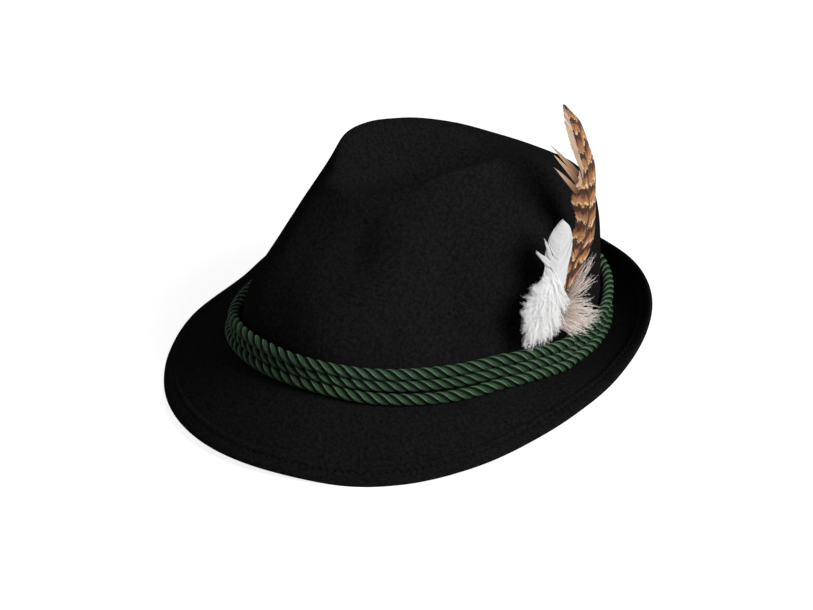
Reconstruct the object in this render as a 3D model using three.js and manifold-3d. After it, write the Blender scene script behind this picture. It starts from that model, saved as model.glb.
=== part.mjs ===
// A felt tyrolean hat with three rounds of green cord and two feathers.
// Millimetres, +Z up. The front faces -Y and the wearer's left is +X.
// The hat stands on z = 0 as it rests by itself, with the origin under the middle of its box.
// Angles go round the crown from the front: 0 front, 90 the wearer's left, 180 back.

import * as THREE from 'three';
import { mergeVertices } from 'three/addons/utils/BufferGeometryUtils.js';
import Module from 'manifold-3d';

const wasm = await Module();
wasm.setup();

// Driving dimensions

const FELT_THICK = 2.0;
const HEAD = { halfWidth: 80.5, halfLength: 98.7, topCentreY: 5 };
const REST = { leanBack: 6.0, lift: 19.85, forward: 11.6 };

// The wall and top of the crown at stations round one side; the other side is the same.
// ridge: reach of the top edge, as a share of the head oval. height: of that edge.
// swell: how far the wall's lower part stands out. low: where that part ends, as a share of the height.
// shoulder and fall: how far out and how far down the wall turns under the top edge.
// foot: height of the break between crown and brim, which dips towards the back.
const CROWN = [
  { angle: 0, ridge: 0.593, height: 78.0, swell: 0.014, low: 0.33, shoulder: 0.205, fall: 0.30, foot: -0.3 },
  { angle: 20, ridge: 0.575, height: 79.4, swell: 0.006, low: 0.33, shoulder: 0.358, fall: 0.27, foot: -1.0 },
  { angle: 40, ridge: 0.514, height: 83.4, swell: -0.102, low: 0.33, shoulder: 0.273, fall: 0.35, foot: -4.7 },
  { angle: 60, ridge: 0.509, height: 89.0, swell: -0.188, low: 0.35, shoulder: 0.137, fall: 0.43, foot: -6.0 },
  { angle: 80, ridge: 0.486, height: 89.9, swell: -0.072, low: 0.38, shoulder: 0.145, fall: 0.33, foot: -3.6 },
  { angle: 100, ridge: 0.464, height: 88.5, swell: -0.011, low: 0.42, shoulder: 0.183, fall: 0.19, foot: -7.6 },
  { angle: 120, ridge: 0.482, height: 85.6, swell: -0.011, low: 0.46, shoulder: 0.267, fall: 0.08, foot: -9.0 },
  { angle: 140, ridge: 0.544, height: 79.7, swell: -0.018, low: 0.50, shoulder: 0.383, fall: 0.06, foot: -8.0 },
  { angle: 160, ridge: 0.589, height: 73.2, swell: 0.071, low: 0.50, shoulder: 0.478, fall: 0.08, foot: -8.1 },
  { angle: 180, ridge: 0.595, height: 70.8, swell: 0.156, low: 0.50, shoulder: 0.518, fall: 0.10, foot: -8.3 },
];
const TOP_DENT = { floor: 60, slope: -0.10 };

// The two finger pinches at the front of the crown, right and left. The left one is wider and deeper.
const PINCHES = [
  { angle: -26, height: 0.72, angleSpread: 12, heightSpread: 0.25, depth: 0.10 },
  { angle: 20, height: 0.70, angleSpread: 14, heightSpread: 0.25, depth: 0.16 },
];

// The brim at the same kind of stations. width: along the felt, from the crown to the rim.
// root and rim: its slope at both ends, in degrees. bend: how evenly the slope turns between them.
const BRIM = [
  { angle: 0, width: 48.2, root: -35.9, rim: -43, bend: 1.0 },
  { angle: 30, width: 46.9, root: -29, rim: -46.7, bend: 1.0 },
  { angle: 45, width: 45.3, root: -19.3, rim: -45, bend: 1.0 },
  { angle: 60, width: 41.7, root: -14.3, rim: -34.8, bend: 1.0 },
  { angle: 78, width: 35.9, root: -13.9, rim: -25.9, bend: 1.0 },
  { angle: 90, width: 34.7, root: -0.9, rim: -4.8, bend: 1.0 },
  { angle: 105, width: 33.8, root: 11.3, rim: 20.9, bend: 1.0 },
  { angle: 120, width: 33.2, root: 10.8, rim: 47.8, bend: 1.0 },
  { angle: 135, width: 32.2, root: 5.5, rim: 64.7, bend: 0.8 },
  { angle: 150, width: 30.5, root: 5.5, rim: 80.2, bend: 0.7 },
  { angle: 165, width: 28.3, root: 8.5, rim: 91.5, bend: 0.7 },
  { angle: 180, width: 27.7, root: 7.9, rim: 91.2, bend: 0.7 },
];
const HEM = { width: 9.5, raised: 0.9 };

// The outer rounds stand a little further out than the middle one, which is drawn in between them
const CORD = { radius: 2.5, gap: 0.4, pitch: 5.35, outerRounds: 1.2, middleRound: 0.35 };
const QUILL_BULGE = { depth: 2.3, from: 74, full: 80, fullTo: 99, to: 106 };

// How finely the felt and the cords are divided
const AROUND = 60;
const TOP_ROWS = [1.78, 1.56, 1.38, 1.24, 1.13, 1.05, 1.0];
const WALL_ROWS = [0.95, 0.87, 0.78, 0.68, 0.57, 0.46, 0.35, 0.24, 0.12];
const BRIM_ROWS = [0.08, 0.22, 0.38, 0.54, 0.7];
const CORD_SIDES = 8;
const SLOPE_STEPS = 12;

const radians = THREE.MathUtils.degToRad;
const lerp = THREE.MathUtils.lerp;

// Smooth value of one column of a station table at any angle (degrees), the same on both sides
function station(table, column, angle) {
  const turned = Math.abs(THREE.MathUtils.euclideanModulo(angle + 180, 360) - 180);
  const last = table.length - 1;
  const rows = [
    { at: -table[1].angle, value: table[1][column] },
    ...table.map((row) => ({ at: row.angle, value: row[column] })),
    { at: 360 - table[last - 1].angle, value: table[last - 1][column] },
  ];
  let i = 1;
  while (i < last && rows[i + 1].at <= turned) i += 1;
  const [before, start, end, after] = rows.slice(i - 1, i + 3);
  const span = end.at - start.at;
  const s = (turned - start.at) / span;
  const leave = ((end.value - before.value) / (end.at - before.at)) * span;
  const arrive = ((after.value - start.value) / (after.at - start.at)) * span;
  const s2 = s * s;
  const s3 = s2 * s;
  return (2 * s3 - 3 * s2 + 1) * start.value + (s3 - 2 * s2 + s) * leave
    + (3 * s2 - 2 * s3) * end.value + (s3 - s2) * arrive;
}

function bezier(a, b, c, d, t) {
  const r = 1 - t;
  return r * r * r * a + 3 * r * r * t * b + 3 * r * t * t * c + t * t * t * d;
}

function smooth(from, to, value) {
  return THREE.MathUtils.smoothstep(value, from, to);
}

// Inward push of the two finger pinches at the front of the crown
function pinch(angle, share) {
  const turned = THREE.MathUtils.euclideanModulo(angle + 180, 360) - 180;
  return PINCHES.reduce((push, one) => {
    const across = (turned - one.angle) / one.angleSpread;
    const along = (share - one.height) / one.heightSpread;
    return push + one.depth * Math.exp(-across * across - along * along);
  }, 0);
}

// Outer face of the crown. climb runs 0 at the brim, 1 at the top edge, 2 at the middle of the top.
function crownPoint(angle, climb) {
  const ridge = station(CROWN, 'ridge', angle);
  const height = station(CROWN, 'height', angle);
  const swell = station(CROWN, 'swell', angle);
  const low = station(CROWN, 'low', angle);
  const shoulder = station(CROWN, 'shoulder', angle);
  const fall = station(CROWN, 'fall', angle);
  const turn = radians(angle);
  const backY = (reach) => HEAD.topCentreY * (1 - reach) - reach * HEAD.halfLength * Math.cos(turn);
  const t = Math.min(climb, 1);
  let reach = bezier(1, 1 + swell, ridge + shoulder, ridge, t);
  let z = bezier(0, low * height, (1 - fall) * height, height, t);
  reach -= pinch(angle, z / height);
  if (climb > 1) {
    const floorAt = (y) => TOP_DENT.floor + TOP_DENT.slope * y;
    const rise = height - floorAt(backY(reach));
    reach *= 2 - climb;
    z = floorAt(backY(reach)) + rise * smooth(0, 1, 2 - climb);
  }
  z += station(CROWN, 'foot', angle) * Math.max(0, 1 - z / 60);
  return new THREE.Vector3(reach * HEAD.halfWidth * Math.sin(turn), backY(reach), z);
}

// Level direction straight out from the head oval
function outward(angle) {
  const turn = radians(angle);
  const out = new THREE.Vector3(HEAD.halfLength * Math.sin(turn), -HEAD.halfWidth * Math.cos(turn), 0);
  return out.normalize();
}

// Upper face of the brim. share runs 0 at the crown, 1 at the rim; the slope turns on the way.
function brimPoint(angle, share) {
  const width = station(BRIM, 'width', angle);
  const root = radians(station(BRIM, 'root', angle));
  const rim = radians(station(BRIM, 'rim', angle));
  const bend = station(BRIM, 'bend', angle);
  const step = (share * width) / SLOPE_STEPS;
  const point = crownPoint(angle, 0);
  const out = outward(angle);
  for (let i = 0; i < SLOPE_STEPS; i += 1) {
    const slope = lerp(root, rim, Math.pow(Math.abs(share * (i + 0.5)) / SLOPE_STEPS, bend));
    point.addScaledVector(out, step * Math.cos(slope));
    point.z += step * Math.sin(slope);
  }
  return point;
}

// Outward normal of a surface made of (angle, position), by small differences
function faceNormal(surface, angle, along, reverse) {
  const slip = 0.004;
  const turnA = surface(angle + 0.5, along);
  const turnB = surface(angle - 0.5, along);
  const alongA = surface(angle, along + slip);
  const alongB = surface(angle, along - slip);
  const normal = turnA.sub(turnB).cross(alongA.sub(alongB)).normalize();
  return reverse ? normal.negate() : normal;
}

// From the frame of the head oval to the pose in which the hat rests
function settle(point) {
  const rested = point.clone().applyAxisAngle(new THREE.Vector3(1, 0, 0), -radians(REST.leanBack));
  rested.y += REST.forward;
  rested.z += REST.lift;
  return rested;
}

// Closed body from rings of points with one point at each end
function loft(first, rings, last) {
  const count = rings[0].length;
  const points = [first, ...rings.flat(), last];
  const index = [];
  const at = (ring, j) => 1 + ring * count + (j % count);
  const end = points.length - 1;
  for (let j = 0; j < count; j += 1) {
    index.push(0, at(0, j), at(0, j + 1));
    index.push(end, at(rings.length - 1, j + 1), at(rings.length - 1, j));
    for (let i = 0; i + 1 < rings.length; i += 1) {
      index.push(at(i, j), at(i + 1, j), at(i + 1, j + 1));
      index.push(at(i, j), at(i + 1, j + 1), at(i, j + 1));
    }
  }
  const geometry = new THREE.BufferGeometry();
  geometry.setAttribute('position', new THREE.Float32BufferAttribute(points.flatMap((p) => p.toArray()), 3));
  geometry.setIndex(index);
  return geometry;
}

function solidFrom(geometry) {
  const plain = mergeVertices(geometry.clone(), 1e-4);
  const solid = new wasm.Mesh({
    numProp: 3,
    vertProperties: new Float32Array(plain.attributes.position.array),
    triVerts: new Uint32Array(plain.index.array),
  });
  return new wasm.Manifold(solid);
}

function fused(geometries) {
  const whole = geometries.map(solidFrom).reduce((sum, next) => sum.add(next));
  const mesh = whole.getMesh();
  const geometry = new THREE.BufferGeometry();
  geometry.setAttribute('position', new THREE.BufferAttribute(mesh.vertProperties, 3));
  geometry.setIndex(new THREE.BufferAttribute(mesh.triVerts, 1));
  return geometry;
}

// Felt body: one wall of felt, outside and inside, with the folded hem round the rim
function feltBody() {
  const angles = Array.from({ length: AROUND }, (_, j) => (360 * j) / AROUND);
  const skin = (surface, along, reverse) => angles.map((angle) => ({
    point: surface(angle, along),
    normal: faceNormal(surface, angle, along, reverse),
  }));
  const fromRim = (distance) => (angle) => 1 - distance / station(BRIM, 'width', angle);
  const hemSkin = (distance) => angles.map((angle) => {
    const share = fromRim(distance)(angle);
    return { point: brimPoint(angle, share), normal: faceNormal(brimPoint, angle, share, true) };
  });
  const flatten = (point) => {
    const rested = settle(point);
    rested.z = Math.max(rested.z, 0);
    return rested;
  };
  const moved = (row, distance) => row.map(({ point, normal }) => (
    flatten(point.clone().addScaledVector(normal, distance))
  ));
  const brimRoot = skin(brimPoint, 0, true);
  const breakLine = skin(crownPoint, 0, false).map(({ point, normal }, j) => {
    const below = brimRoot[j].normal;
    const mitre = 1 / (1 + normal.dot(below));
    return { point, normal: normal.add(below).multiplyScalar(mitre) };
  });
  const body = [
    ...TOP_ROWS.map((climb) => skin(crownPoint, climb, false)),
    ...WALL_ROWS.map((climb) => skin(crownPoint, climb, false)),
    breakLine,
    ...BRIM_ROWS.map((share) => skin(brimPoint, share, true)),
  ];
  const hemInner = hemSkin(HEM.width + 0.3);
  const outside = [
    ...body.map((row) => moved(row, 0)),
    moved(hemInner, 0),
    moved(hemSkin(HEM.width), HEM.raised),
    moved(hemSkin(0.8), HEM.raised),
    moved(hemSkin(0), 0.2),
  ];
  const inside = [
    moved(hemSkin(0), -FELT_THICK + 0.6),
    moved(hemSkin(1.2), -FELT_THICK),
    moved(hemInner, -FELT_THICK),
    ...body.reverse().map((row) => moved(row, -FELT_THICK)),
  ];
  const middle = crownPoint(0, 2);
  const inner = middle.clone();
  inner.z -= FELT_THICK;
  return loft(settle(middle), [...outside, ...inside], settle(inner));
}

// Point of the crown's wall at a height above the break
function wallAt(angle, height) {
  let low = 0;
  let high = 0.6;
  const base = crownPoint(angle, 0).z;
  for (let i = 0; i < 24; i += 1) {
    const middle = (low + high) / 2;
    if (crownPoint(angle, middle).z - base < height) low = middle;
    else high = middle;
  }
  return crownPoint(angle, low);
}

// Height of a cord's middle above the break when the cord lies on the brim, clear of the wall by stand
function restHeight(angle, stand, reach) {
  const foot = crownPoint(angle, 0);
  const away = outward(angle);
  const brim = Array.from({ length: 25 }, (_, i) => brimPoint(angle, i * 0.016));
  let height = 0;
  for (let round = 0; round < 4; round += 1) {
    const middle = wallAt(angle, height).sub(foot).dot(away) + stand;
    height = 0;
    brim.forEach((under) => {
      const across = under.clone().sub(foot).dot(away) - middle;
      if (Math.abs(across) < reach) {
        height = Math.max(height, under.z - foot.z + Math.sqrt(reach * reach - across * across));
      }
    });
  }
  return height;
}

// One round of cord, number 0 lowest, lying against the wall and over the quills
function cordRound(number) {
  const touch = CORD.radius + CORD.gap;
  const loop = Array.from({ length: AROUND }, (_, j) => {
    const angle = (360 * j) / AROUND;
    const height = restHeight(angle, touch + CORD.outerRounds, touch) + number * CORD.pitch;
    const over = smooth(QUILL_BULGE.from, QUILL_BULGE.full, angle)
      * (1 - smooth(QUILL_BULGE.fullTo, QUILL_BULGE.to, angle));
    const loose = number === 1 ? CORD.middleRound : CORD.outerRounds;
    const out = outward(angle);
    const centre = wallAt(angle, Math.max(height, 0));
    centre.addScaledVector(out, touch + Math.max(loose, QUILL_BULGE.depth * over));
    return { centre, out };
  });
  const up = new THREE.Vector3(0, 0, 1);
  const points = loop.flatMap(({ centre, out }) => (
    Array.from({ length: CORD_SIDES }, (_, k) => {
      const turn = (2 * Math.PI * (k + 0.5)) / CORD_SIDES;
      const point = centre.clone().addScaledVector(out, CORD.radius * Math.cos(turn));
      return settle(point.addScaledVector(up, CORD.radius * Math.sin(turn)));
    })
  ));
  const at = (j, k) => (j % AROUND) * CORD_SIDES + (k % CORD_SIDES);
  const index = [];
  for (let j = 0; j < AROUND; j += 1) {
    for (let k = 0; k < CORD_SIDES; k += 1) {
      index.push(at(j, k), at(j + 1, k), at(j + 1, k + 1));
      index.push(at(j, k), at(j + 1, k + 1), at(j, k + 1));
    }
  }
  const geometry = new THREE.BufferGeometry();
  geometry.setAttribute('position', new THREE.Float32BufferAttribute(points.flatMap((p) => p.toArray()), 3));
  geometry.setIndex(index);
  return geometry;
}

// Feathers. Each is a quill, a vane and loose locks of barbs, fused into one body.
// A spine is a list of stations from the quill's foot to the tip; left is towards the front of the hat.
const QUILL = { radius: 0.9, sides: 6, rings: 8 };
const VANE = { middle: 1.4, edge: 0.5 };

const BARRED = {
  spine: [
    { x: 81.14, y: 5.5, z: -2, left: 0, right: 0 },
    { x: 80.33, y: 5.8, z: 6, left: 0, right: 0 },
    { x: 78.49, y: 6.8, z: 14, left: 0, right: 0 },
    { x: 82.6, y: 11.4, z: 21.9, left: 3, right: 3 },
    { x: 81.3, y: 15, z: 32.6, left: 4, right: 6 },
    { x: 78.6, y: 21.7, z: 42.8, left: 11, right: 10 },
    { x: 75.8, y: 31.8, z: 51.8, left: 10, right: 8.5 },
    { x: 74.1, y: 36.5, z: 64.4, left: 7.5, right: 6 },
    { x: 73.8, y: 35.8, z: 76.8, left: 10.5, right: 6 },
    { x: 72.1, y: 36.2, z: 88.5, left: 9, right: 6 },
    { x: 69.5, y: 34.4, z: 100.2, left: 6, right: 4.6 },
    { x: 66.5, y: 32.5, z: 110.9, left: 6.5, right: 3 },
    { x: 63.6, y: 26.3, z: 120.7, left: 0, right: 0 },
  ],
  locks: [
    { from: { y: 29.4, z: 87.5 }, to: { x: 68.5, y: 13.2, z: 105.1 }, width: 4 },
    { from: { y: 29.0, z: 83.6 }, to: { x: 69.7, y: 14.5, z: 100.4 }, width: 4 },
    { from: { y: 28.5, z: 78.7 }, to: { x: 71.2, y: 14.0, z: 94.4 }, width: 4.5 },
    { from: { y: 16.7, z: 30.9 }, to: { x: 76.8, y: 38.8, z: 45.1 }, width: 7 },
    { from: { y: 16.6, z: 30.0 }, to: { x: 79.5, y: 38.7, z: 33.8 }, width: 8 },
    { from: { y: 13.3, z: 26.4 }, to: { x: 82.8, y: 33.3, z: 23.2 }, width: 6 },
    { from: { y: 12.6, z: 24.7 }, to: { x: 86.8, y: 35.6, z: 17.7 }, width: 7 },
    { from: { y: 12.0, z: 22.8 }, to: { x: 88.6, y: 28.8, z: 13.4 }, width: 7 },
    { from: { y: 11.4, z: 21.0 }, to: { x: 89.0, y: 17.6, z: 14.6 }, width: 6 },
  ],
};

const WHITE = {
  spine: [
    { x: 81.13, y: -7, z: -2, left: 0, right: 0 },
    { x: 79.98, y: -7, z: 6, left: 0, right: 0 },
    { x: 78.21, y: -7, z: 14, left: 0, right: 0 },
    { x: 84.8, y: -5.3, z: 20.6, left: 6, right: 7 },
    { x: 85.2, y: -3.8, z: 28.5, left: 11, right: 12 },
    { x: 84.5, y: -0.7, z: 37.2, left: 12, right: 13 },
    { x: 82.6, y: 7.1, z: 47.2, left: 8, right: 9 },
    { x: 81.6, y: 9.7, z: 56.2, left: 9, right: 9.5 },
    { x: 81.3, y: 11, z: 65.8, left: 7, right: 6.5 },
    { x: 81.5, y: 10.9, z: 72.4, left: 0, right: 0 },
  ],
  locks: [
    { from: { y: 5.0, z: 53.4 }, to: { x: 81.7, y: -1.5, z: 66.3 }, width: 4.5 },
    { from: { y: 3.7, z: 50.7 }, to: { x: 81.8, y: -7.0, z: 61.2 }, width: 4.5 },
    { from: { y: 13.6, z: 51.6 }, to: { x: 80.7, y: 19.4, z: 61.7 }, width: 4.5 },
    { from: { y: -5.2, z: 38.8 }, to: { x: 83.5, y: -10.0, z: 43.2 }, width: 6 },
    { from: { y: -6.7, z: 36.3 }, to: { x: 84.1, y: -15.0, z: 35.6 }, width: 7 },
    { from: { y: -7.5, z: 32.8 }, to: { x: 84.9, y: -16.1, z: 29.6 }, width: 7 },
    { from: { y: -7.0, z: 29.4 }, to: { x: 86.1, y: -16.4, z: 23.1 }, width: 7 },
    { from: { y: -6.5, z: 26.8 }, to: { x: 87.0, y: -14.8, z: 16.0 }, width: 7 },
    { from: { y: -4.6, z: 26.8 }, to: { x: 87.1, y: -7.7, z: 15.5 }, width: 7 },
    { from: { y: -1.4, z: 27.7 }, to: { x: 87.0, y: -1.7, z: 16.9 }, width: 7 },
    { from: { y: 3.1, z: 31.3 }, to: { x: 86.6, y: 5.3, z: 21.8 }, width: 7 },
    { from: { y: 6.0, z: 36.4 }, to: { x: 85.2, y: 10.9, z: 29.4 }, width: 7 },
  ],
};

// Smooth reading of the spine table: t runs 0 at the foot to 1 at the tip
function spineReader(rows) {
  const curve = new THREE.CatmullRomCurve3(rows.map((r) => new THREE.Vector3(r.x, r.y, r.z)));
  const widths = new THREE.CatmullRomCurve3(rows.map((r) => new THREE.Vector3(r.left, r.right, 0)));
  return (t) => {
    const width = widths.getPoint(t);
    return { centre: curve.getPoint(t), left: Math.max(width.x, 0), right: Math.max(width.y, 0) };
  };
}

// Strip of changing width: its section is thick in the middle and thin at both edges
function strip(stations, foot, tip) {
  const across = new THREE.Vector3(0, 1, 0);
  const facing = new THREE.Vector3(1, 0, 0);
  const rings = stations.map(({ centre, left, right, middle, edge }) => [
    centre.clone().addScaledVector(facing, middle / 2),
    centre.clone().addScaledVector(across, right).addScaledVector(facing, edge / 2),
    centre.clone().addScaledVector(across, right).addScaledVector(facing, -edge / 2),
    centre.clone().addScaledVector(facing, -middle / 2),
    centre.clone().addScaledVector(across, -left).addScaledVector(facing, -edge / 2),
    centre.clone().addScaledVector(across, -left).addScaledVector(facing, edge / 2),
  ].map(settle));
  return loft(settle(tip), rings.reverse(), settle(foot));
}

function quill(read, from, to) {
  const rings = Array.from({ length: QUILL.rings }, (_, i) => {
    const { centre } = read(lerp(to, from, i / (QUILL.rings - 1)));
    return Array.from({ length: QUILL.sides }, (_, k) => {
      const turn = (2 * Math.PI * k) / QUILL.sides;
      const side = new THREE.Vector3(Math.cos(turn), Math.sin(turn), 0);
      return settle(centre.clone().addScaledVector(side, QUILL.radius));
    });
  });
  return loft(settle(read(to).centre), rings, settle(read(from).centre));
}

// Loose lock of barbs: a flat leaf from inside the vane to a point
function lockOfBarbs(read, { from, to, width }) {
  let low = 0;
  let high = 1;
  for (let i = 0; i < 20; i += 1) {
    const middle = (low + high) / 2;
    if (read(middle).centre.z < from.z) low = middle;
    else high = middle;
  }
  const start = new THREE.Vector3(read(low).centre.x, from.y, from.z);
  const end = new THREE.Vector3(to.x, to.y, to.z);
  const along = end.clone().sub(start).normalize();
  const side = new THREE.Vector3(1, 0, 0).cross(along).normalize();
  const facing = along.clone().cross(side);
  const shape = [
    { t: 0.08, half: 0.36 },
    { t: 0.35, half: 0.5 },
    { t: 0.7, half: 0.34 },
  ];
  const rings = shape.map(({ t, half }) => {
    const centre = start.clone().lerp(end, t);
    return [
      centre.clone().addScaledVector(side, half * width),
      centre.clone().addScaledVector(facing, VANE.middle * 0.3),
      centre.clone().addScaledVector(side, -half * width),
      centre.clone().addScaledVector(facing, -VANE.middle * 0.3),
    ].map(settle);
  });
  return loft(settle(end), rings.reverse(), settle(start));
}

function feather({ spine, locks }, vaneFrom, vaneSteps) {
  const read = spineReader(spine);
  const stations = Array.from({ length: vaneSteps }, (_, i) => {
    const t = lerp(vaneFrom, 0.985, i / (vaneSteps - 1));
    const { centre, left, right } = read(t);
    const middle = lerp(VANE.middle, 0.7, t);
    return { centre, left: Math.max(left, 0.5), right: Math.max(right, 0.5), middle, edge: VANE.edge };
  });
  const vane = strip(stations, read(vaneFrom - 0.02).centre, read(1).centre);
  const pieces = locks.map((lock) => lockOfBarbs(read, lock));
  return fused([vane, quill(read, 0, vaneFrom + 0.08), ...pieces]);
}

const felt = new THREE.MeshStandardMaterial({ color: 0x0c0c0d, roughness: 0.95, metalness: 0 });
const greenCord = new THREE.MeshStandardMaterial({ color: 0x1d4a24, roughness: 0.45, metalness: 0 });
const brownFeather = new THREE.MeshStandardMaterial({ color: 0x9a6a3f, roughness: 0.7, metalness: 0 });
const whiteFeather = new THREE.MeshStandardMaterial({ color: 0xf0ece4, roughness: 0.8, metalness: 0 });

function piece(name, geometry, material) {
  geometry.computeVertexNormals();
  const mesh = new THREE.Mesh(geometry, material);
  mesh.name = name;
  return mesh;
}

const hat = new THREE.Group();
hat.add(piece('felt_body', feltBody(), felt));
['cord_lower', 'cord_middle', 'cord_upper'].forEach((name, number) => {
  hat.add(piece(name, cordRound(number), greenCord));
});
hat.add(piece('barred_feather', feather(BARRED, 0.24, 24), brownFeather));
hat.add(piece('white_feather', feather(WHITE, 0.29, 18), whiteFeather));

export default hat;
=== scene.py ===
import bpy
import numpy as np
from mathutils import Matrix, Vector


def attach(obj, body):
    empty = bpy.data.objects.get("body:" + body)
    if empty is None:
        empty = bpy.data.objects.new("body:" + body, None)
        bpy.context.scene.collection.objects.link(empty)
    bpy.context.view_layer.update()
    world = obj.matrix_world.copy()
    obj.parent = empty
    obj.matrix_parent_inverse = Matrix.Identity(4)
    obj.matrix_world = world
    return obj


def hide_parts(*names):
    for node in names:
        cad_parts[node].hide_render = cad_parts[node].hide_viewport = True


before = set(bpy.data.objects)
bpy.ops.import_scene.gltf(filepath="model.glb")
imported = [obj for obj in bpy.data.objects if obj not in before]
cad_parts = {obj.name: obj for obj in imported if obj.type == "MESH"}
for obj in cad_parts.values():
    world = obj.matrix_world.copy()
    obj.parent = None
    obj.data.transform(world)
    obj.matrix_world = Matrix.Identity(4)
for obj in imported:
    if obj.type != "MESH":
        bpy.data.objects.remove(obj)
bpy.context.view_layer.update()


# The hat at rest, and the camera.
# The hat lies on its front rim and on the turned back of its brim, so its head band leans back a
# little. Everything below is worked out against the head band, in millimetres, and then settled.

LEAN_BACK = np.radians(6.0)
FORWARD = 11.6
LIFT = 19.85


def turned_with_the_hat(vectors):
    """Turns vectors about X by the lean, front up."""
    x, y, z = np.moveaxis(np.asarray(vectors, float), -1, 0)
    c, s = np.cos(LEAN_BACK), np.sin(LEAN_BACK)
    return np.stack([x, y * c + z * s, z * c - y * s], axis=-1)


def settled(points):
    """Points against the head band, in mm, as they lie in the resting hat, in metres: the lean, then
    the shift that brings the hat's underside to z = 0 and its middle over the origin."""
    return (turned_with_the_hat(points) + np.array([0.0, FORWARD, LIFT])) / 1000


def unit(vectors):
    """Vectors scaled to length 1."""
    return vectors / np.maximum(np.linalg.norm(vectors, axis=-1, keepdims=True), 1e-9)


CAMERA = {
    "azimuth": 46.16, "elevation": 25.45, "roll": 2.28, "distance": 1100.0,
    "focal": 97.07, "sensor": 36, "image_width": 813, "shift": (-15.8, 2.8),
}
azimuth, elevation, roll = (np.radians(CAMERA[k]) for k in ("azimuth", "elevation", "roll"))
level = np.cos(elevation)
backward = np.array([np.sin(azimuth) * level, -np.cos(azimuth) * level, np.sin(elevation)])
sideways = unit(np.cross([0, -np.sin(roll), np.cos(roll)], backward))
upward = np.cross(backward, sideways)
axes = turned_with_the_hat([sideways, upward, backward])
camera_data = bpy.data.cameras.new("camera")
camera_data.lens = CAMERA["focal"]
camera_data.sensor_width = CAMERA["sensor"]
camera_data.shift_x, camera_data.shift_y = (pixels / CAMERA["image_width"] for pixels in CAMERA["shift"])
camera_data.clip_start = 0.05
camera = bpy.data.objects.new("camera", camera_data)
bpy.context.scene.collection.objects.link(camera)
camera_spot = Vector(settled(backward * CAMERA["distance"]))
camera.matrix_world = Matrix.Translation(camera_spot) @ Matrix(axes.T.tolist()).to_4x4()
bpy.context.scene.camera = camera


# The felt body.
# One cone of black wool felt, blocked over a last into crown and brim, so it is one wall about 2 mm
# thick. The top is pressed in, the front pinched on both sides, deeper on the wearer's left, and the
# rim folded over and sewn.

HEAD = {"half_width": 80.5, "half_length": 98.7, "top_centre_y": 5.0, "foot_fades": 60}
FELT_THICK = 2.0
CROWN = {
    "angle":    [0, 20, 40, 60, 80, 100, 120, 140, 160, 180],
    "ridge":    [0.593, 0.575, 0.514, 0.509, 0.486, 0.464, 0.482, 0.544, 0.589, 0.595],
    "height":   [78.0, 79.4, 83.4, 89.0, 89.9, 88.5, 85.6, 79.7, 73.2, 70.8],
    "swell":    [0.014, 0.006, -0.102, -0.188, -0.072, -0.011, -0.011, -0.018, 0.071, 0.156],
    "low":      [0.33, 0.33, 0.33, 0.35, 0.38, 0.42, 0.46, 0.50, 0.50, 0.50],
    "shoulder": [0.205, 0.358, 0.273, 0.137, 0.145, 0.183, 0.267, 0.383, 0.478, 0.518],
    "fall":     [0.30, 0.27, 0.35, 0.43, 0.33, 0.19, 0.08, 0.06, 0.08, 0.10],
    "foot":     [-0.3, -1.0, -4.7, -6.0, -3.6, -7.6, -9.0, -8.0, -8.1, -8.3],
}
TOP_DENT = {"floor": 60.0, "slope": -0.10}
PINCHES = {
    "angle":         [-26.0, 20.0],
    "height":        [0.72, 0.70],
    "angle_spread":  [12.0, 14.0],
    "height_spread": [0.25, 0.25],
    "depth":         [0.10, 0.16],
}
BRIM = {
    "angle": [0, 30, 45, 60, 78, 90, 105, 120, 135, 150, 165, 180],
    "width": [48.2, 46.9, 45.3, 41.7, 35.9, 34.7, 33.8, 33.2, 32.2, 30.5, 28.3, 27.7],
    "root":  [-35.9, -29, -19.3, -14.3, -13.9, -0.9, 11.3, 10.8, 5.5, 5.5, 8.5, 7.9],
    "rim":   [-43, -46.7, -45, -34.8, -25.9, -4.8, 20.9, 47.8, 64.7, 80.2, 91.5, 91.2],
    "bend":  [1.0, 1.0, 1.0, 1.0, 1.0, 1.0, 1.0, 1.0, 0.8, 0.7, 0.7, 0.7],
}
BRIM_SUMS = 24
# The hem's section from its inner edge to the rim: how far its skin stands up, with the stitches' groove.
HEM = {
    "from_rim": [9.9, 9.6, 9.3, 9.0, 8.5, 7.8, 7.2, 6.9, 6.5, 6.1, 5.8, 5.2, 4.2, 3.2, 2.2, 1.3, 0.7,
                 0.3, 0.05],
    "lift": [0.0, 0.25, 0.68, 0.86, 0.9, 0.9, 0.86, 0.62, 0.45, 0.62, 0.86, 0.92, 0.95, 0.95, 0.92, 0.8,
             0.6, 0.3, -0.05],
    "begins": 10.5,
    "stitch_in": 6.5,
}
TOP_EDGE = {"passes": 7, "spread": 0.09}
RIM_THICK = [1.1, 1.55, 1.85]
# Rows of the felt, each group from, to and how many: over the top, round its edge and down the wall by
# climb, then out over the brim to the hem by share.
CLIMB_ROWS = [(1.96, 1.28, 26), (1.26, 0.74, 40), (0.72, 0.0, 44)]
BRIM_ROWS = (0.02, 1.0, 30)
FELT_STEPS = 300
NODE_STEP, NODE_DROP = 200, 600


def half_turn(angle):
    """The angle folded to 0-180 degrees, since the tables hold for both sides of the hat."""
    return np.abs((angle + 180.0) % 360.0 - 180.0)


def smooth(low, high, value):
    """0 below low, 1 above high, and 3t^2 - 2t^3 between."""
    t = np.clip((value - low) / (high - low), 0, 1)
    return t * t * (3 - 2 * t)


def cubic(before, leave, after, arrive, s):
    """Cubic from one value to the next, for s from 0 to 1, with its slope at both ends."""
    return ((2 * s**3 - 3 * s**2 + 1) * before + (s**3 - 2 * s**2 + s) * leave
            + (3 * s**2 - 2 * s**3) * after + (s**3 - s**2) * arrive)


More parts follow.
